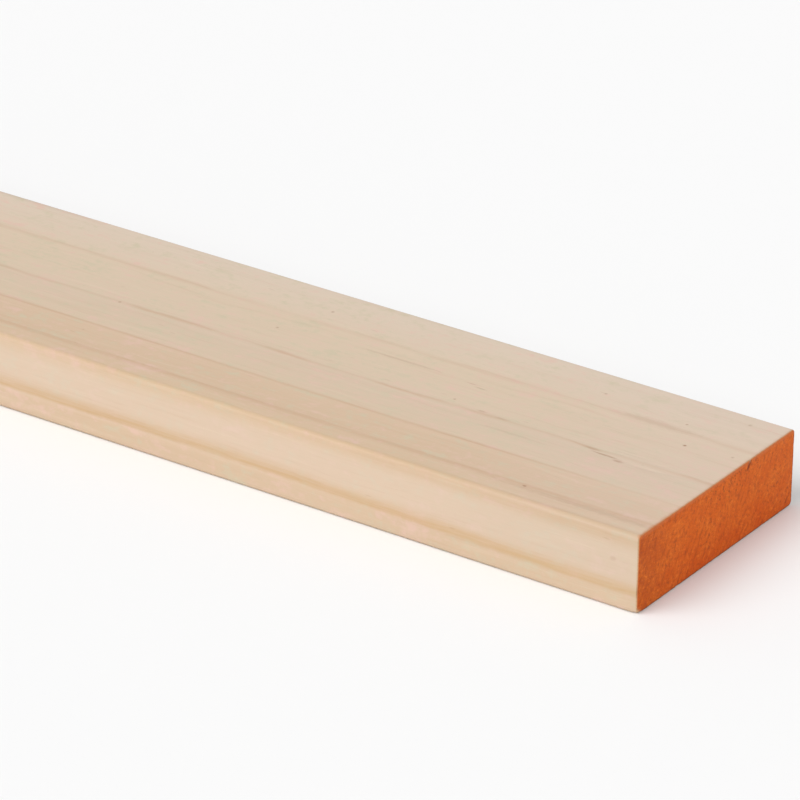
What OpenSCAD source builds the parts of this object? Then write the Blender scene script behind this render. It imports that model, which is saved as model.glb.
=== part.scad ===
// A planed softwood plank: one straight piece of sawn and dressed timber.
// Its long arrises are eased by the planer, and its two ends are cross-cut
// square, with the saw's sharp edge just taken off.
//
// +X runs along the plank, +Y across its wide face and +Z up through its
// thickness. The origin is the middle of the underside, so the plank lies
// on its wide face with z = 0 as the floor.

/* [Plank] */
// Length of the plank, from saw cut to saw cut
plank_length = 1800; // [600:100:6000]
// Width of the wide face
plank_width = 120; // [60:5:240]
// Thickness, from the underside to the top face
plank_thickness = 35; // [12:1:75]

/* [Edges] */
// Radius of the four planed long arrises
arris_radius = 1.8; // [0.5:0.1:5]
// Radius left on the edges of the two saw cuts
saw_edge_radius = 0.6; // [0.2:0.1:2]

/* [Hidden] */
// Facets of a full circle, for the screen preview
$fn = 64;

// A size[0] by size[1] rectangle about the origin, with round corners
module eased_rectangle(size, radius) {
    square([size[0] - 2 * radius, size[1]], center = true);
    square([size[0], size[1] - 2 * radius], center = true);
    for (x = [-1, 1], y = [-1, 1])
        translate([x * (size[0] / 2 - radius), y * (size[1] / 2 - radius)])
            circle(r = radius);
}

// The planed section, swept along X from one saw cut to the other
module planed_section() {
    rotate([90, 0, 90])
        linear_extrude(height = plank_length, center = true)
            eased_rectangle([plank_width, plank_thickness], arris_radius);
}

// The outline seen from above, which eases the upright edges of the saw cuts
module plan_outline() {
    linear_extrude(height = plank_thickness, center = true)
        eased_rectangle([plank_length, plank_width], saw_edge_radius);
}

// The outline seen from the side, which eases the level edges of the saw cuts
module side_outline() {
    rotate([90, 0, 0])
        linear_extrude(height = plank_width, center = true)
            eased_rectangle([plank_length, plank_thickness], saw_edge_radius);
}

module plank() {
    color("burlywood")
        translate([0, 0, plank_thickness / 2])
            intersection() {
                planed_section();
                plan_outline();
                side_outline();
            }
}

plank();
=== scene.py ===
import math

import bpy
import numpy as np
from mathutils import Matrix, Vector


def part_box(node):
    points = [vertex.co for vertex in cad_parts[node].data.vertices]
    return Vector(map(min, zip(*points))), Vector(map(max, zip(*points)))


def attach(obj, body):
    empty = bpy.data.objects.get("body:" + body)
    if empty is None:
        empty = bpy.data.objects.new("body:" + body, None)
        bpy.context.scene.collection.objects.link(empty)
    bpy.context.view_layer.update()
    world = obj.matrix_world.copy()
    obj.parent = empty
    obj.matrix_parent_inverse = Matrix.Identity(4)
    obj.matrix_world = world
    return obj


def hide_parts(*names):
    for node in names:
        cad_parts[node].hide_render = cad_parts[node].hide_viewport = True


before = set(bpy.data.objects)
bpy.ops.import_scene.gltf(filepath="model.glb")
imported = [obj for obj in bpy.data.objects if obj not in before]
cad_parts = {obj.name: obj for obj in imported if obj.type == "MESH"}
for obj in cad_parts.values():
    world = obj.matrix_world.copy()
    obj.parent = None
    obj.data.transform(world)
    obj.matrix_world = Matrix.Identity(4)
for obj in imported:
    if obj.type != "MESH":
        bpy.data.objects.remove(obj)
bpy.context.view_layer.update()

plankLow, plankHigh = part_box("plank")
halfLength = (plankHigh.x - plankLow.x) / 2
halfWidth = (plankHigh.y - plankLow.y) / 2
halfThickness = (plankHigh.z - plankLow.z) / 2
middle = (plankLow + plankHigh) / 2
mm = 0.001  # every size below in mm is multiplied by this
end, front, back, top = (side / mm for side in (halfLength, plankLow.y, plankHigh.y, plankHigh.z))


# Shader tools: a value that does arithmetic, and a finish that makes every other node

class Value:
    def __init__(self, finish, socket):
        self.finish = finish
        self.socket = socket

    def maths(self, operation, *others):
        return self.finish.node("ShaderNodeMath", {"operation": operation},
                                dict(enumerate((self,) + others)))

    def __add__(self, other):
        return self.maths("ADD", other)

    def __mul__(self, other):
        return self.maths("MULTIPLY", other)

    def __sub__(self, other):
        return self.maths("SUBTRACT", other)

    def __truediv__(self, other):
        return self.maths("DIVIDE", other)

    def __rsub__(self, other):
        return (self * -1) + other

    def __neg__(self):
        return self * -1

    def __abs__(self):
        return self.maths("ABSOLUTE")

    __radd__ = __add__
    __rmul__ = __mul__

    def sine(self):
        return self.maths("SINE")

    def root(self):
        return self.maths("SQRT")

    def least(self, other):
        return self.maths("MINIMUM", other)

    def rise(self, start, stop):  # 0 up to start, 1 from stop on, with a smooth step between
        return self.finish.node(
            "ShaderNodeMapRange",
            {"interpolation_type": "SMOOTHSTEP"},
            {"Value": self, "From Min": start, "From Max": stop},
        )

    def fall(self, start, stop):
        return 1 - self.rise(start, stop)


class Finish:
    def __init__(self, name):
        self.material = bpy.data.materials.new(name)
        self.material.use_nodes = True
        self.tree = self.material.node_tree
        self.tree.nodes.clear()

    def node(self, kind, settings=None, sockets=None, output=None):
        made = self.tree.nodes.new(kind)
        for name, setting in (settings or {}).items():
            if name == "stops":
                self.setStops(made.color_ramp, setting)
            else:
                setattr(made, name, setting)
        for name, value in (sockets or {}).items():
            if isinstance(name, int):
                socket = made.inputs[name]
            else:
                socket = next(s for s in made.inputs if s.enabled and s.name == name)
            if isinstance(value, Value):
                self.tree.links.new(value.socket, socket)
            else:
                socket.default_value = value
        result = next((s for s in made.outputs if s.enabled and output in (None, s.name)), None)
        return Value(self, result)

    def setStops(self, ramp, stops):
        while len(ramp.elements) < len(stops):
            ramp.elements.new(0.5)
        for element, (place, colour) in zip(ramp.elements, stops):
            element.position = place
            element.color = colour

    def point(self, x, y, z):
        return self.node("ShaderNodeCombineXYZ", {}, {"X": x, "Y": y, "Z": z})

    def vector(self, operation, first, second=(0, 0, 0)):
        return self.node("ShaderNodeVectorMath", {"operation": operation}, {0: first, 1: second})

    def spot(self, place, centre, size):  # 0 at the centre, 1 on an egg shape of these half sizes
        away = self.vector("SUBTRACT", place, centre)
        return self.vector("LENGTH", self.vector("DIVIDE", away, size))

    def counted(self, place, size, start):  # a place counted in patches of this size in mm
        parts = [part / length for part, length in zip(place, size)]
        return self.point(*(part + first if first else part for part, first in zip(parts, start)))

    # Soft patches of about this size. Start picks another part of the same endless pattern.
    def clouds(self, place, size, detail=2.0, roughness=0.5, start=(0, 0, 0)):
        sockets = {"Vector": self.counted(place, size, start), "Scale": 1.0,
                   "Detail": detail, "Roughness": roughness}
        return self.node("ShaderNodeTexNoise", {}, sockets, "Fac")

    def dots(self, place, size, start=(0, 0, 0)):  # how far off the nearest of many scattered dots is
        sockets = {"Vector": self.counted(place, size, start), "Scale": 1.0, "Randomness": 1.0}
        return self.node("ShaderNodeTexVoronoi", {}, sockets, "Distance")

    def blend(self, amount, first, second, way="MIX"):
        return self.node("ShaderNodeMix", {"data_type": "RGBA", "blend_type": way},
                         {"Factor": amount, "A": first, "B": second})

    def tint(self, colour, mask, layer, way="MIX"):  # a layer is a colour card and its strength
        card, strength = layer
        return self.blend(mask * strength, colour, swatch(card), way)


def swatch(card):  # a colour card's 0 to 255 numbers, as the light they reflect
    parts = [c / 255 for c in card]
    return [c / 12.92 if c <= 0.04045 else ((c + 0.055) / 1.055) ** 2.4 for c in parts] + [1.0]


# How the plank lay in the tree. Both its shape and its finish read these.

tree = {
    "heart": (-122.2, 55.4),  # y and z of the tree's heart, in mm, ahead of the front edge
    "sway": ((0.3, 0.0042, -3.15), (0.2, 0.021, 2.1)),  # how the heart wanders: mm, rate, start
    "lift": ((1.5, 0.0060, -1.24), (0.25, 0.019, 0.2)),
}

# Each year's dark line: its radius from the heart, how far its dark builds up inside and
# stops outside, its strength, how much it wavers, how much of it fades by the painted end,
# how broken it is, and how much stronger it is low on the front edge. All lengths in mm.
yearLines = (
    {"radius": 65.6, "inside": 2.6, "outside": 2.6, "strength": 0.55, "waver": 0.7,
     "fade": 0.0, "broken": 0.2, "lowDown": 0.0},
    {"radius": 76.5, "inside": 4.6, "outside": 1.3, "strength": 0.75, "waver": 0.3,
     "fade": 0.1, "broken": 0.0, "lowDown": 1.35},
    {"radius": 95.8, "inside": 1.7, "outside": 1.5, "strength": 0.85, "waver": 0.35,
     "fade": 0.7, "broken": 0.0, "lowDown": 0.0},
    {"radius": 119.9, "inside": 2.6, "outside": 1.5, "strength": 0.95, "waver": 2.4,
     "fade": 0.0, "broken": 0.65, "lowDown": 0.0},
    {"radius": 153.4, "inside": 3.6, "outside": 2.2, "strength": 0.50, "waver": 1.6,
     "fade": 0.0, "broken": 0.55, "lowDown": 0.0},
    {"radius": 185.0, "inside": 4.0, "outside": 1.6, "strength": 0.80, "waver": 0.9,
     "fade": 0.0, "broken": 0.4, "lowDown": 0.0},
)


def wander(x, waves, sine):  # x in mm along the plank, as an array or a shader value
    total = 0
    for size, rate, start in waves:
        total = sine(x * rate + start) * size + total
    return total


def yearRadius(x, y, z, sine, root):
    heartY, heartZ = tree["heart"]
    acrossGrain = y - heartY - wander(x, tree["sway"], sine)
    throughGrain = z - heartZ - wander(x, tree["lift"], sine)
    return root(acrossGrain * acrossGrain + throughGrain * throughGrain)


# The plank's shape

shape = {
    "arrisRadius": 1.8,  # mm, on the four planed edges
    "sawRadius": 0.6,  # mm, on the edges of the saw cuts
    "arrisSteps": 4,
    "widthSteps": 192,
    "thicknessSteps": 52,
    "sawSteps": 4,
    "fineRun": (62.0, 1.2),  # mm along the plank from the painted end, and mm a step
    "middleRun": (300.0, 3.0),
    "bareRun": (9.0, 1.2),
    "longStep": 14.0,
}

relief = {
    "softWood": 0.045,  # mm that the soft wood lies below the dark lines
    "swell": 0.05,  # mm of slow unevenness left by the planer, and its size along and across
    "swellSize": (70, 24),
    "dents": 26,  # bruises from handling, and the least and most of their sizes in mm
    "dentSeed": 11,
    "dentLength": (3, 9),
    "dentBreadth": (1.2, 3),
    "dentDepth": (0.06, 0.2),
    "dentReach": 2,  # mm that a dent carries on down over an edge
    "tornDepth": 0.30,  # mm, where the planer tore the upper face's grain
    "tornAt": (34, -4),  # mm back from the painted end, and across
    "tornReach": (30, 14),
    "tornSize": (9, 1.1),
    "tornLevel": 0.62,  # the share of the grain left whole there
    "sawDepth": 0.07,
    "sawPitch": 1.55,
    "sawCentre": (-95.0, -190.0),  # y and z that the saw's marks turn about
    "sawWander": (1.2, 14),  # mm that the marks stray, and over how many mm
    "sawShares": (0.45, 0.55),  # how much of the depth is score marks, and how much is rough grain
    "gritSize": (0.9, 40),  # mm of the rough grain's patches across the cut, and into the wood
    "splinters": 0.12,  # how far the saw cuts' edges are broken, as a share
    "splinterReach": 2.4,  # mm back from a saw cut
    "splitDepth": 0.25,
    "bluntDepth": 0.4,  # mm knocked off the lower front corner at the painted end
    "bluntRadius": 5,
    "seeds": {"swell": 3, "torn": 5, "sawWander": 7, "grit": 9},
}

# Chips along the edges of both saw cuts: how far each row reaches in from its edge and how
# long its chips are in mm, how much of the edge stays whole, and how deep they are
chipRows = (
    {"edge": "bottom", "reach": 1.6, "length": 2.3, "whole": 0.55, "depth": 2.2, "seed": 13},
    {"edge": "back", "reach": 1.5, "length": 2.1, "whole": 0.55, "depth": 2.0, "seed": 15},
    {"edge": "top", "reach": 1.2, "length": 1.7, "whole": 0.5, "depth": 1.2, "seed": 17},
)
chipChange = 200  # mm along the plank over which the chips change, so the two ends differ

# A short split in the painted end, from the top edge down and towards the front edge
split = {"across": 25.0, "lean": -0.6, "halfWidth": 1.2, "depth": 4.2, "into": 2}  # into the wood


def sideLines(half, radius, flatSteps):  # close together over the arrises
    flat = half - radius
    count = shape["arrisSteps"]
    arris = [flat + radius * math.tan(math.pi / 4 * k / count) for k in range(count, 0, -1)]
    even = list(np.linspace(-flat, flat, flatSteps + 1))
    return np.array([-a for a in arris] + even + arris[::-1])


def eased(y, z, radius):  # pulls a square section's corners onto round arrises
    outY = np.maximum(np.abs(y) - (halfWidth - radius), 0)
    outZ = np.maximum(np.abs(z) - (halfThickness - radius), 0)
    reach = np.maximum(outY, outZ)
    keep = reach / np.maximum(np.hypot(outY, outZ), 1e-12)
    easedY = np.sign(y) * (np.minimum(np.abs(y), halfWidth - radius) + outY * keep)
    easedZ = np.sign(z) * (np.minimum(np.abs(z), halfThickness - radius) + outZ * keep)
    return easedY, easedZ


def stations():  # (x, inset, level): level 0 has every side line, 1 every second, 2 every fourth
    saw = shape["sawRadius"] * mm
    longStep = shape["longStep"] * mm
    fineLength, fineStep = shape["fineRun"]
    middleLength, middleStep = shape["middleRun"]
    bareLength, bareStep = shape["bareRun"]
    rounded = []
    for k in range(shape["sawSteps"], 0, -1):
        turn = math.pi / 2 * k / shape["sawSteps"]
        rounded.append((halfLength - saw + saw * math.sin(turn), saw * (1 - math.cos(turn)), 0))
    found = list(rounded)
    stop = halfLength - fineLength * mm
    for x in np.arange(halfLength - saw, stop, -fineStep * mm):
        found.append((x, 0, 0))
    stop -= middleLength * mm
    for x in np.arange(x - middleStep * mm / 2, stop, -middleStep * mm):
        found.append((x, 0, 1))
    bareStart = bareLength * mm - halfLength
    count = round((x - bareStart) / longStep)
    for x in np.linspace(x, bareStart, count + 1)[1:-1]:
        found.append((x, 0, 2))
    found.append((bareStart + longStep / 3, 0, 1))
    count = round((bareStart + halfLength - saw) / (bareStep * mm))
    for x in np.linspace(bareStart, saw - halfLength, count + 1):
        found.append((x, 0, 0))
    return found + [(-x, inset, level) for x, inset, level in reversed(rounded)]


def lattice(x, y, z, seed):  # smooth random values, from 0 to 1, one to each unit of length
    table = np.random.default_rng(seed).random(4096)
    low = [np.floor(v).astype(np.int64) for v in (x, y, z)]
    part = [v - f for v, f in zip((x, y, z), low)]
    part = [p * p * (3 - 2 * p) for p in part]
    total = 0
    for corner in range(8):
        step = [corner >> axis & 1 for axis in range(3)]
        weight = 1
        for axis in range(3):
            weight = weight * (part[axis] if step[axis] else 1 - part[axis])
        i, j, k = (low[axis] + step[axis] for axis in range(3))
        total = total + weight * table[(i * 73856093 ^ j * 19349663 ^ k * 83492791) & 4095]
    return total


def hump(distance):  # 1 at no distance, 0 from a distance of 1 on
    near = np.clip(1 - distance, 0, 1)
    return near * near * (3 - 2 * near)


def reliefDepth(place, normal):  # mm that each point lies inside the plank's true surface
    x, y, z = place.T / mm
    side = 1 - np.abs(normal[:, 0])
    radius = yearRadius(x, y, z, np.sin, np.sqrt)
    dark = 0
    for line in yearLines:
        gap = radius - line["radius"]
        shade = hump(np.where(gap < 0, -gap / line["inside"], gap / line["outside"]))
        dark = dark + line["strength"] * shade
    along, across = relief["swellSize"]
    depth = relief["softWood"] * (1 - np.clip(dark, 0, 1)) * side
    depth += relief["swell"] * lattice(x / along, y / across, z / across, relief["seeds"]["swell"]) * side
    depth += dentDepths(x, y, z) * side
    depth += tornDepths(x, y, z) * (normal[:, 2] > 0.5) * side
    return depth + sawDepths(x, y, z) * (1 - side)


def dentDepths(x, y, z):
    depth = 0
    draw = np.random.default_rng(relief["dentSeed"])
    for _ in range(relief["dents"]):
        dentX = draw.uniform(-halfLength, halfLength) / mm
        dentY = draw.uniform(-halfWidth, halfWidth) / mm
        dentZ = draw.choice((plankLow.z, plankHigh.z)) / mm
        length = draw.uniform(*relief["dentLength"])
        breadth = draw.uniform(*relief["dentBreadth"])
        deep = draw.uniform(*relief["dentDepth"])
        away = ((x - dentX) / length) ** 2 + ((y - dentY) / breadth) ** 2
        away = away + ((z - dentZ) / relief["dentReach"]) ** 2
        depth = depth + deep * hump(np.sqrt(away))
    return depth


def tornDepths(x, y, z):  # short pits
    backAt, acrossAt = relief["tornAt"]
    backReach, acrossReach = relief["tornReach"]
    along, across = relief["tornSize"]
    pits = lattice(x / along, y / across, z / across, relief["seeds"]["torn"]) - relief["tornLevel"]
    patch = hump(np.abs(end - x - backAt) / backReach) * hump(np.abs(y - acrossAt) / acrossReach)
    return relief["tornDepth"] * np.clip(pits * 3, 0, 1) * patch


def sawDepths(x, y, z):  # score marks in wide arcs across both ends, over a slightly rough grain
    sawY, sawZ = relief["sawCentre"]
    stray, straySize = relief["sawWander"]
    gritAcross, gritInto = relief["gritSize"]
    scoreShare, gritShare = relief["sawShares"]
    seeds = relief["seeds"]
    wave = lattice(y / straySize, z / straySize, x * 0, seeds["sawWander"])
    path = np.hypot(y - sawY, z - sawZ) + stray * wave
    score = 0.5 + 0.5 * np.sin(path / relief["sawPitch"] * 2 * math.pi)
    grit = lattice(y / gritAcross, z / gritAcross, x / gritInto, seeds["grit"])
    return relief["sawDepth"] * (scoreShare * score + gritShare * grit)


def edgeDamage(place):  # mm that points near the saw cuts are broken away
    x, y, z = place.T / mm
    fromEnd, fromTop, fromFront = end - np.abs(x), top - z, y - front
    edges = {"bottom": (z, y), "back": (back - y, z), "top": (fromTop, y)}  # away from it, along it
    chips = 0
    for row in chipRows:
        away, along = edges[row["edge"]]
        ragged = lattice(along / row["length"], x / chipChange, x * 0, row["seed"]) - row["whole"]
        chips = chips + hump(away / row["reach"]) * np.clip(ragged, 0, 1) * row["depth"]
    chips = relief["splinters"] * hump(fromEnd / relief["splinterReach"]) * chips
    splitLine = np.abs(y - split["across"] - fromTop * split["lean"])
    opened = hump(splitLine / split["halfWidth"]) * hump(fromTop / split["depth"])
    opened = opened * hump(fromEnd / split["into"])
    corner = hump(np.sqrt(fromEnd ** 2 + fromFront ** 2 + z ** 2) / relief["bluntRadius"])
    return chips + (relief["splitDepth"] * opened + relief["bluntDepth"] * corner) * (x > 0)


def bandFaces(ring, nextRing):  # two steps of a finer ring meet one step of a coarser
    _, level, first, count = ring
    _, nextLevel, nextFirst, nextCount = nextRing
    faces = []
    for i in range(min(count, nextCount)):
        j = (i + 1) % min(count, nextCount)
        if level == nextLevel:
            faces.append((first + i, nextFirst + i, nextFirst + j, first + j))
        elif nextLevel > level:
            a, b, c = (first + (2 * i + k) % count for k in range(3))
            faces.append((a, nextFirst + i, b))
            faces.append((b, nextFirst + i, nextFirst + j))
            faces.append((b, nextFirst + j, c))
        else:
            a, b, c = (nextFirst + (2 * i + k) % nextCount for k in range(3))
            faces.append((first + i, a, b))
            faces.append((first + i, b, first + j))
            faces.append((first + j, b, c))
    return faces


def capGrid(linesY, linesZ, around, first, total):  # one saw cut's inner points, and its faces
    saw = shape["sawRadius"] * mm
    gridY, gridZ = np.meshgrid(linesY, linesZ, indexing="ij")
    capY, capZ = eased(gridY, gridZ, shape["arrisRadius"] * mm)
    capY, capZ = capY * (1 - saw / halfWidth), capZ * (1 - saw / halfThickness)
    index = np.full(gridY.shape, -1)
    for i, (j, k) in enumerate(around):
        index[j, k] = first + i
    inside = index < 0
    index[inside] = total + np.arange(inside.sum())
    faces = []
    for j in range(len(linesY) - 1):
        for k in range(len(linesZ) - 1):
            faces.append((index[j, k], index[j + 1, k], index[j + 1, k + 1], index[j, k + 1]))
    return capY[inside], capZ[inside], faces


def buildPlank():
    arris = shape["arrisRadius"] * mm
    linesY = sideLines(halfWidth, arris, shape["widthSteps"])
    linesZ = sideLines(halfThickness, arris, shape["thicknessSteps"])
    countY, countZ = len(linesY) - 1, len(linesZ) - 1
    around = [(j, 0) for j in range(countY)] + [(countY, k) for k in range(countZ)]
    around += [(j, countZ) for j in range(countY, 0, -1)] + [(0, k) for k in range(countZ, 0, -1)]
    corners = np.array(around)
    ringY, ringZ = eased(linesY[corners[:, 0]], linesZ[corners[:, 1]], arris)

    points, rings, faces = [], [], []
    total = 0
    for x, inset, level in stations():
        step = 2 ** level
        y = ringY[::step] * (1 - inset / halfWidth)
        z = ringZ[::step] * (1 - inset / halfThickness)
        points.append(np.column_stack([np.full(len(y), x), y, z]))
        rings.append((x, level, total, len(y)))
        total += len(y)
    for ring, nextRing in zip(rings, rings[1:]):
        faces += bandFaces(ring, nextRing)
    for x, _, first, _ in (rings[0], rings[-1]):
        y, z, capFaces = capGrid(linesY, linesZ, around, first, total)
        points.append(np.column_stack([np.full(len(y), x), y, z]))
        faces += [face if x > 0 else face[::-1] for face in capFaces]
        total += len(y)

    points = np.concatenate(points) + np.array(middle)
    mesh = bpy.data.meshes.new("plankTimber")
    mesh.from_pydata(points.tolist(), [], [tuple(int(i) for i in face) for face in faces])
    mesh.update()
    normals = np.empty(len(points) * 3, np.float32)
    mesh.vertices.foreach_get("normal", normals)
    normals = normals.reshape(-1, 3)
    depth = reliefDepth(points, normals) + edgeDamage(points)
    moved = points - normals * (depth * mm)[:, None]
    mesh.vertices.foreach_set("co", moved.astype(np.float32).ravel())
    mesh.polygons.foreach_set("use_smooth", [True] * len(mesh.polygons))
    mesh.update()
    plank = bpy.data.objects.new("plank_timber", mesh)
    bpy.context.scene.collection.objects.link(plank)
    return plank


# The plank's finish: pine all through, with orange sealing paint over one saw cut

# A pair in brackets of a colour card and a number is a layer and its strength. A pattern's
# size is in mm along the plank, across it and through it.
pine = {
    # pale wood from the heart side to the bark side: radius in mm, colour card
    "tones": (
        (62, (209, 184, 155)),
        (76, (208, 182, 155)),
        (79, (207, 181, 154)),
        (94, (210, 184, 158)),
        (98, (210, 189, 165)),
        (118, (209, 188, 166)),
        (123, (211, 191, 168)),
        (150, (212, 192, 169)),
        (158, (213, 194, 173)),
        (185, (213, 196, 178)),
        (205, (210, 190, 168)),
    ),
    "lineColour": (188, 150, 120),  # where a year line is strongest, and the same low on the front
    "frontLineColour": (196, 163, 123),
    "lineDepth": 0.42,
    "lineFadeRun": (90, 20),  # mm back from the painted end where some lines start and end to fade
    "pink": ((218, 186, 170), 0.80),  # it drifts between this and the next in soft blotches
    "greyGreen": ((202, 190, 164), 0.85),
    "nearEnd": ((212, 190, 178), 0.22),  # what the upper face fades towards by the painted end
    "frontEdge": ((211, 191, 173), 0.5),
    "arris": ((245, 244, 238), 1.0),  # painted shade: darkens the front arris, which catches more light than the faces beside it
    "lowFront": (250, 251, 251),  # darkens the front edge below the lowest line and by the paint
    "fibreDark": ((188, 156, 126), 0.32),
    "fibreLight": ((226, 208, 186), 0.30),
    "canals": ((160, 122, 98), 0.20),
    "specks": ((160, 122, 98), 0.50),
    "marks": (160, 122, 98),
    "grainBend": 7,  # mm that the grain strays from straight
    "bend": {"size": (55, 26, 26)},
    "waver": {"size": (34, 14, 14), "detail": 3.0, "roughness": 0.6},
    "nick": {"size": (5, 2.5, 2.5)},
    "breaks": {"size": (38, 22, 22)},
    "threads": {"size": (60, 1.1, 1.1), "roughness": 0.6},
    "cloud": {"size": (46, 15, 15), "detail": 3.0, "roughness": 0.55},
    "blotch": {"size": (13, 8, 8), "detail": 3.0, "roughness": 0.6, "start": (40, 0, 0)},
    "dapple": {"size": (4.2, 3.2, 3.2), "roughness": 0.6},
    "fibre": {"size": (40, 0.7, 0.7), "detail": 3.0, "roughness": 0.65},
    "strand": {"size": (70, 2.6, 2.6)},
    "canalPatch": {"size": (80, 20, 20), "detail": 1.0, "start": (0, 0, 9)},
    "canalSize": (22, 4.6, 4.6),
    "speckPatch": {"size": (60, 18, 18), "detail": 1.0, "start": (7, 0, 0)},
    "speckSize": (17.0, 17.0, 17.0),
    "fray": {"size": (3.5, 0.9, 0.9), "roughness": 0.6},
    "roughness": 0.62,
    "specular": 0.12,
    "refraction": 1.45,
    "bumpStrength": 0.7,
    "planerPitch": 2.4,  # mm between the planer's ripples
}

endGrain = {
    "dark": (188, 150, 110),
    "light": (214, 186, 150),
    "line": (146, 98, 58),
    "score": ((120, 84, 54), 0.14),
    "cover": 0.85,
    "depth": (0.9, 0.35),  # mm back from the saw cut where it starts and is whole
    "grit": {"size": (30, 0.55, 0.55), "detail": 3.0, "roughness": 0.7},
    "sawDrift": {"size": (9, 9, 1)},
}

# Marks in the grain near the painted end: mm back from that end, y and z in mm, half length
# and half breadth in mm, and strength. Streaks come first, then specks.
grainMarks = (
    {"at": (50, -6.5, 35), "size": (9, 0.8), "strength": 0.55},  # torn beside a year line
    {"at": (43, -8.2, 35), "size": (3, 1.3), "strength": 0.45},
    {"at": (58, -4.6, 35), "size": (5, 1.0), "strength": 0.30},
    {"at": (103, -3.2, 35), "size": (4, 1.0), "strength": 0.20},
    {"at": (113, -2.2, 35), "size": (3.5, 0.9), "strength": 0.28},
    {"at": (28, -50.6, 35), "size": (58, 2.4), "strength": 0.20},
    {"at": (92, -12.5, 35), "size": (20, 1.1), "strength": 0.13},
    {"at": (126, 15.6, 35), "size": (4, 0.6), "strength": 0.35},
    {"at": (131, 17.2, 35), "size": (4, 0.5), "strength": 0.30},
    {"at": (168, 19.0, 35), "size": (26, 0.9), "strength": 0.22},
    {"at": (48, 31.0, 35), "size": (24, 3.4), "strength": 0.16},
    {"at": (28.6, 20.0, 35), "size": (1.0, 0.9), "strength": 0.85},
    {"at": (61.5, -49.0, 35), "size": (1.2, 0.9), "strength": 0.70},
    {"at": (38.0, 37.0, 35), "size": (0.8, 0.7), "strength": 0.50},
    {"at": (7.0, 22.0, 35), "size": (0.9, 0.8), "strength": 0.40},
    {"at": (129.0, 1.0, 35), "size": (0.9, 0.8), "strength": 0.50},
    {"at": (12.0, -60.0, 22), "size": (2.0, 1.4), "strength": 0.20},
)

paint = {
    "colour": (213, 95, 10),
    "nearFront": (192, 84, 14),
    "lowDown": ((207, 81, 8), 0.7),
    "light": (238, 132, 44),
    "deep": (146, 52, 5),
    "dots": ((112, 44, 12), 0.75),
    "splitShade": ((116, 42, 12), 0.85),
    "soaked": (202, 114, 66),  # where it runs thin into the wood
    "bleed": (192, 122, 82),  # where it has crept over the top edge
    # painted shade along the bottom and back rims of the painted end
    "edge": (96, 60, 40),
    "cover": 0.22,  # mm that it reaches back from the saw cut
    "ragged": 0.12,  # mm
    "bleedReach": 2.2,  # mm
    "roughness": 0.5,
    "raggedPattern": {"size": (3, 1.6, 1.6), "detail": 3.0, "roughness": 0.7},
    "frayed": {"size": (3, 0.8, 0.8), "roughness": 0.7},
    "brush": {"size": (1, 2.4, 6), "detail": 3.0, "roughness": 0.65},
    "fleck": {"size": (1, 2.1, 2.0), "detail": 4.0, "roughness": 0.75, "start": (3, 0, 0)},
    "speckle": {"size": (1, 1.1, 1.1), "roughness": 0.7, "start": (5, 0, 0)},
    "heap": {"size": (1, 13, 10), "start": (8, 0, 0)},
    "dotPattern": {"size": (1, 1.5, 1.9), "start": (6, 0, 0)},
    "dotsAt": ((0.0, 8.0, top - 5), (1.0, 26.0, 9.0)),  # the middle of the darker dots, and their reach
}


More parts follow.
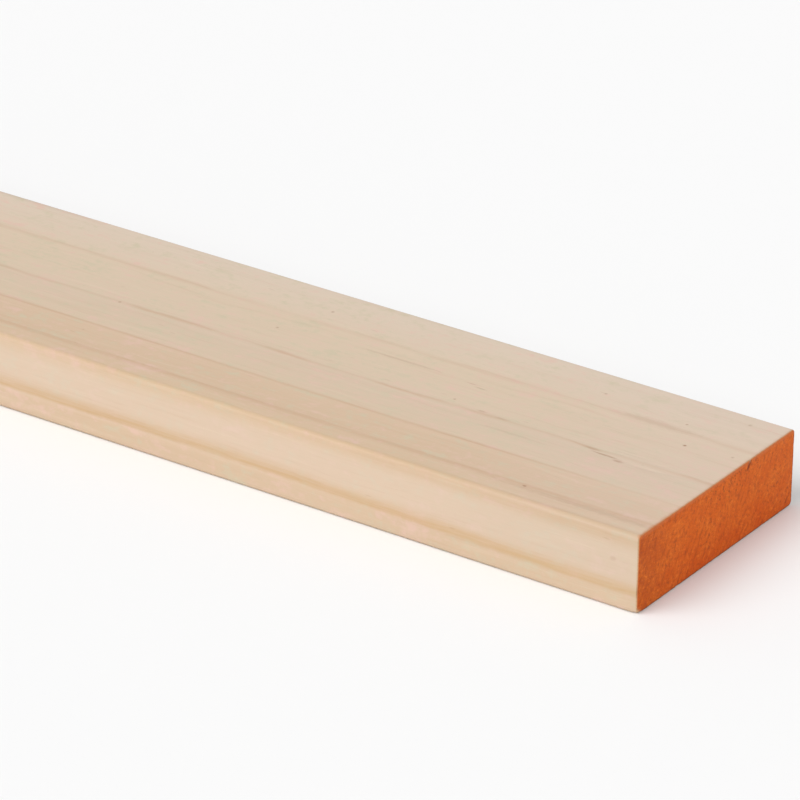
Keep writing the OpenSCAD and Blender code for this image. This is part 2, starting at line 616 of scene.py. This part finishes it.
class PlankFinish(Finish):
    def __init__(self, name):
        super().__init__(name)
        place = self.node("ShaderNodeTexCoord", output="Object")
        sockets = {"Vector": place, "Scale": 1 / mm}
        self.place = self.node("ShaderNodeVectorMath", {"operation": "SCALE"}, sockets)
        sockets = {"Vector": self.place}
        self.x, self.y, self.z = (self.node("ShaderNodeSeparateXYZ", {}, sockets, axis) for axis in "XYZ")
        self.parts = (self.x, self.y, self.z)
        self.fromTop, self.fromFront = top - self.z, self.y - front

        # The grain bends a little as it runs, so its fibres are never quite straight
        bend = (self.clouds(self.parts, **pine["bend"]) - 0.5) * pine["grainBend"]
        self.grain = (self.x, self.y + bend, self.z + bend * 0.6)
        self.radius = yearRadius(*self.parts, Value.sine, Value.root)
        self.lowDown = self.z.fall(10, 34)
        self.fibre = self.clouds(self.grain, **pine["fibre"])
        self.strand = self.clouds(self.grain, **pine["strand"])
        self.dark = self.yearShade()
        self.endGrain = abs(self.x).rise(*(end - depth for depth in endGrain["depth"]))

    def yearShade(self):  # how dark the year lines are, as they waver along the plank
        waver = self.clouds(self.parts, **pine["waver"]) - 0.5
        nick = self.clouds(self.parts, **pine["nick"]) - 0.5
        breaks = self.clouds(self.parts, **pine["breaks"]).rise(0.40, 0.60)
        threads = self.clouds(self.grain, **pine["threads"]).rise(0.25, 0.75)
        towardsEnd = self.x.rise(*(end - away for away in pine["lineFadeRun"]))
        dark = 0
        for line in yearLines:
            gap = self.radius - line["radius"] + waver * (2 * line["waver"]) + nick * 0.5
            inside = gap.rise(-line["inside"], 0)
            outside = gap.fall(0, line["outside"])
            mark = inside * inside * outside * line["strength"]
            if line["lowDown"]:
                mark = mark * (1 + self.lowDown * line["lowDown"])
            if line["fade"]:
                mark = mark * (1 - towardsEnd * line["fade"])
            if line["broken"]:
                mark = mark * (1 - line["broken"] + breaks * line["broken"])
            dark = mark + dark
        return dark * (0.72 + threads * 0.56)

    def paleWood(self):  # warmer towards the heart, with soft blotches and fine fibres
        x, z = self.x, self.z
        low, high = pine["tones"][0][0], pine["tones"][-1][0]
        stops = [((radius - low) / (high - low), swatch(card)) for radius, card in pine["tones"]]
        sockets = {"Fac": (self.radius - low) / (high - low)}
        tone = self.node("ShaderNodeValToRGB", {"stops": stops}, sockets, "Color")

        cloud, blotch, dapple = (self.clouds(self.parts, **pine[name]) - 0.5
                                 for name in ("cloud", "blotch", "dapple"))
        drift = cloud * 0.8 + blotch * 1.3 + dapple * 1.1
        tone = self.tint(tone, drift.rise(0.0, 0.55), pine["pink"])
        tone = self.tint(tone, drift.fall(-0.55, 0.0), pine["greyGreen"])
        onTop = z.rise(top - 3, top - 1)
        tone = self.tint(tone, x.rise(end - 130, end - 10) * onTop, pine["nearEnd"])
        onFront = self.y.fall(front + 0.3, front + 1.5)
        aboveLines = z.fall(top - 9, top - 1.5) * z.rise(8, 14)
        tone = self.tint(tone, onFront * aboveLines, pine["frontEdge"])
        # Painted shade on the front arris, so it looks no brighter than the faces beside it
        shadedArris = self.y.fall(front + 0.8, front + 3.4) * z.rise(top - 1.3, top - 0.3)
        tone = self.tint(tone, shadedArris, pine["arris"], "MULTIPLY")
        lowFront = onFront * (z.fall(6, 11) + x.rise(end - 130, end - 30))
        tone = self.blend(lowFront.least(1.0), tone, swatch(pine["lowFront"]), "MULTIPLY")

        streak = (self.fibre - 0.5) * 1.3 + (self.strand - 0.5) * 1.4
        tone = self.tint(tone, streak.rise(0.0, 0.9), pine["fibreDark"])
        tone = self.tint(tone, (-streak).rise(0.0, 0.9), pine["fibreLight"])
        line = self.blend(self.lowDown, swatch(pine["lineColour"]), swatch(pine["frontLineColour"]))
        return self.blend((self.dark * pine["lineDepth"]).least(0.8), tone, line)

    def flaws(self, tone):  # a few resin canals in short dashes, small dark specks, and torn grain
        canalPatch = self.clouds(self.parts, **pine["canalPatch"]).rise(0.48, 0.62)
        self.canal = self.dots(self.grain, pine["canalSize"]).fall(0.02, 0.12) * canalPatch
        tone = self.tint(tone, self.canal, pine["canals"])
        speckPatch = self.clouds(self.parts, **pine["speckPatch"]).rise(0.45, 0.65)
        speck = self.dots(self.parts, pine["speckSize"]).fall(0.02, 0.07) * speckPatch
        self.speck = speck * (0.3 + self.z.rise(20, 34) * 0.7)
        tone = self.tint(tone, self.speck, pine["specks"])
        fray = self.clouds(self.parts, **pine["fray"]) - 0.5
        self.marks = 0
        for mark in grainMarks:
            backFromEnd, markY, markZ = mark["at"]
            length, breadth = mark["size"]
            away = self.spot(self.place, (end - backFromEnd, markY, markZ), (length, breadth, breadth))
            self.marks = (away + fray * 1.3).fall(0.2, 1.1) * mark["strength"] + self.marks
        return self.blend(self.marks.least(0.85), tone, swatch(pine["marks"]))

    def sawCuts(self, tone):  # both show end grain and the saw's marks
        x, y, z = self.parts
        sawY, sawZ = relief["sawCentre"]
        path = ((y - sawY) * (y - sawY) + (z - sawZ) * (z - sawZ)).root()
        drift = self.clouds((y, z, 0.0), **endGrain["sawDrift"])
        self.score = ((path + drift * 3) * (2 * math.pi / relief["sawPitch"])).sine() * 0.5 + 0.5
        self.grit = self.clouds(self.parts, **endGrain["grit"])
        pale = self.grit.rise(0.35, 0.7) * 0.5
        cut = self.blend(pale, swatch(endGrain["dark"]), swatch(endGrain["light"]))
        cut = self.blend((self.dark * 0.50).least(0.7), cut, swatch(endGrain["line"]))
        cut = self.tint(cut, self.score, endGrain["score"])
        return self.blend(self.endGrain * endGrain["cover"], tone, cut)

    def sealingPaint(self, tone):  # brushed over one end: where it lies, and where it has soaked in
        ragged = self.clouds(self.parts, **paint["raggedPattern"]) - 0.5
        frayed = self.clouds(self.parts, **paint["frayed"]) - 0.5
        beyond = self.x - end
        onEnd = (beyond + paint["cover"] + ragged * (2 * paint["ragged"])).rise(-0.12, 0.12)
        belowTop = (self.fromTop + frayed * 1.6).rise(-0.3, 0.9)
        behindFront = (self.fromFront + frayed * 0.5).rise(0.1, 0.9)
        self.covered = onEnd * belowTop * behindFront
        bleed = (beyond + paint["bleedReach"] + ragged * 2.5).rise(0, 2.4)
        bleed = bleed * self.z.rise(top - 1.5, top - 0.3)
        bleed = bleed * (0.30 + self.fromFront.fall(4, 40) * 0.50)
        coat = self.paintCoat(ragged, frayed)
        tone = self.blend(bleed, tone, swatch(paint["bleed"]))
        tone = self.blend(onEnd * 0.8, tone, swatch(paint["soaked"]))
        return self.blend(self.covered, tone, coat)

    def paintCoat(self, ragged, frayed):  # browner by the front edge, streaked and flecked all over, with painted shade along the bottom and back rims
        y, z = self.y, self.z
        light, deep, soaked = (swatch(paint[name]) for name in ("light", "deep", "soaked"))
        coat = self.tint(swatch(paint["colour"]), self.fromTop.rise(14, 34), paint["lowDown"])
        coat = self.blend((self.fromFront + ragged * 16).fall(2, 34), coat, swatch(paint["nearFront"]))
        self.brush = self.clouds((0.0, y - z * 0.5, z), **paint["brush"])
        self.fleck = self.clouds((0.0, y, z), **paint["fleck"])
        speckle = self.clouds((0.0, y, z), **paint["speckle"])
        heap = self.clouds((0.0, y, z), **paint["heap"]).rise(0.35, 0.65)
        lively = 0.6 + heap * 0.4
        coat = self.blend(heap * 0.16, coat, light)
        coat = self.blend(self.brush.rise(0.52, 0.72) * 0.30 * lively, coat, light)
        coat = self.blend(self.brush.fall(0.30, 0.48) * 0.55 * lively, coat, deep)
        coat = self.blend(self.fleck.rise(0.52, 0.66) * 0.62 * lively, coat, light)
        coat = self.blend(self.fleck.fall(0.34, 0.48) * 0.66 * lively, coat, deep)
        coat = self.blend(speckle.fall(0.28, 0.42) * 0.40, coat, deep)
        upperMiddle = self.spot(self.point(0.0, y, z), *paint["dotsAt"]).fall(0.3, 1.0)
        dots = self.dots((0.0, y + z * 0.5, z), **paint["dotPattern"]).fall(0.15, 0.42)
        coat = self.tint(coat, upperMiddle * (dots * (1.2 - self.fleck)), paint["dots"])
        coat = self.blend(self.score * 0.06, coat, deep)
        coat = self.blend((self.fromTop + frayed * 2).fall(0.6, 2.2) * 0.55, coat, soaked)
        splitLine = abs(y - split["across"] - self.fromTop * split["lean"] + frayed * 0.6)
        splitShade = splitLine.fall(0.2, split["halfWidth"] + 0.5)
        splitShade = splitShade * self.fromTop.fall(split["depth"] - 1, split["depth"] + 0.6)
        coat = self.tint(coat, splitShade, paint["splitShade"])
        # Painted shade: a dark line along the bottom and back rims of the painted end
        rimShade = z.fall(0.3, 1.3) + (back - y).fall(0.3, 1.2)
        return self.blend((rimShade * 0.7).least(0.8), coat, swatch(paint["edge"]))

    def surface(self, colour):  # sheen and fine relief
        fibre, fleck, covered, endGrain = self.fibre, self.fleck, self.covered, self.endGrain
        woodSheen = pine["roughness"] + (fibre - 0.5) * 0.12 - self.dark * 0.06 + endGrain * 0.12
        paintSheen = paint["roughness"] + (fleck - 0.5) * 0.25
        rough = woodSheen * (1 - covered) + paintSheen * covered
        ripple = (self.x * (2 * math.pi / pine["planerPitch"])).sine() * 0.5 + 0.5
        planed = fibre * 0.05 + self.strand * 0.03 + ripple * 0.004 + self.dark * 0.03
        planed = planed - self.marks * 0.12 - self.canal * 0.02
        height = (1 - endGrain) * planed + endGrain * (self.grit * 0.06 + self.score * 0.03)
        height = height + covered * (fleck * 0.09 + self.brush * 0.05) - self.speck * 0.03
        sockets = {"Strength": pine["bumpStrength"], "Distance": mm, "Height": height}
        bump = self.node("ShaderNodeBump", {}, sockets)
        wood = self.node("ShaderNodeBsdfPrincipled", {}, {
            "Base Color": colour,
            "Roughness": rough,
            "Normal": bump,
            "IOR": pine["refraction"],
            "Specular IOR Level": pine["specular"],
        })
        self.node("ShaderNodeOutputMaterial", {}, {"Surface": wood})


def plankFinish():
    finish = PlankFinish("planed_pine")
    tone = finish.sawCuts(finish.flaws(finish.paleWood()))
    finish.surface(finish.sealingPaint(tone))
    return finish.material


# Floor, light and camera

studio = {
    "floorSize": 600.0,  # metres
    "floorColour": (243, 243, 243),
    "floorRoughness": 0.9,
    "surround": 0.55,  # strength of the even light all round
    "lights": (  # where each comes from, its strength and its softness in degrees
        {"name": "frontLeft", "from": (-0.30, -0.62, 0.72), "strength": 1.90, "spread": 50},
        {"name": "frontRight", "from": (0.75, -0.45, 0.48), "strength": 0.60, "spread": 60},
    ),
}

viewpoint = {
    "azimuth": 34.30,  # degrees, turned from the front edge towards the painted end
    "elevation": 25.84,
    "roll": 0.74,
    "distance": 2.157,  # metres, from the point looked at
    "fromEnd": 0.1468,  # metres that this point lies back from the painted end, on the top face
    "across": -0.0134,
    "lens": 233.9,
    "farthest": 1000,  # metres that it sees to
}


def buildStudio():
    size = studio["floorSize"] / 2
    mesh = bpy.data.meshes.new("floor")
    corners = [(-size, -size, 0), (size, -size, 0), (size, size, 0), (-size, size, 0)]
    mesh.from_pydata(corners, [], [(0, 1, 2, 3)])
    floor = bpy.data.objects.new("floor", mesh)
    bpy.context.scene.collection.objects.link(floor)
    finish = Finish("pale_floor")
    matt = finish.node("ShaderNodeBsdfPrincipled", {}, {
        "Base Color": swatch(studio["floorColour"]),
        "Roughness": studio["floorRoughness"],
        "Specular IOR Level": 0.1,
    })
    finish.node("ShaderNodeOutputMaterial", {}, {"Surface": matt})
    mesh.materials.append(finish.material)

    world = bpy.data.worlds.new("evenLight")
    world.use_nodes = True
    sockets = world.node_tree.nodes["Background"].inputs
    sockets["Color"].default_value = (1, 1, 1, 1)
    sockets["Strength"].default_value = studio["surround"]
    bpy.context.scene.world = world
    for light in studio["lights"]:
        lamp = bpy.data.lights.new(light["name"], "SUN")
        lamp.energy = light["strength"]
        lamp.angle = math.radians(light["spread"])
        stand = bpy.data.objects.new(light["name"], lamp)
        stand.rotation_euler = Vector(light["from"]).to_track_quat("Z", "Y").to_euler()
        bpy.context.scene.collection.objects.link(stand)
    bpy.context.scene.view_settings.view_transform = "Standard"


def placeCamera():
    azimuth, elevation, roll = (math.radians(viewpoint[name]) for name in ("azimuth", "elevation", "roll"))
    ahead = Vector((-math.sin(azimuth) * math.cos(elevation),
                    math.cos(azimuth) * math.cos(elevation),
                    -math.sin(elevation)))
    aim = Vector((plankHigh.x - viewpoint["fromEnd"], viewpoint["across"], plankHigh.z))
    camera = bpy.data.objects.new("camera", bpy.data.cameras.new("camera"))
    camera.data.lens = viewpoint["lens"]
    camera.data.sensor_width = 36
    camera.data.clip_end = viewpoint["farthest"]
    turn = ahead.to_track_quat("-Z", "Y").to_matrix() @ Matrix.Rotation(roll, 3, "Z")
    camera.matrix_world = Matrix.Translation(aim - ahead * viewpoint["distance"]) @ turn.to_4x4()
    bpy.context.scene.collection.objects.link(camera)
    bpy.context.scene.camera = camera


placeCamera()
print("camera placed")
buildStudio()
print("studio set up")
plank = buildPlank()
plank.data.materials.append(plankFinish())
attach(plank, "root")
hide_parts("plank")
print("plank built:", len(plank.data.polygons), "faces")
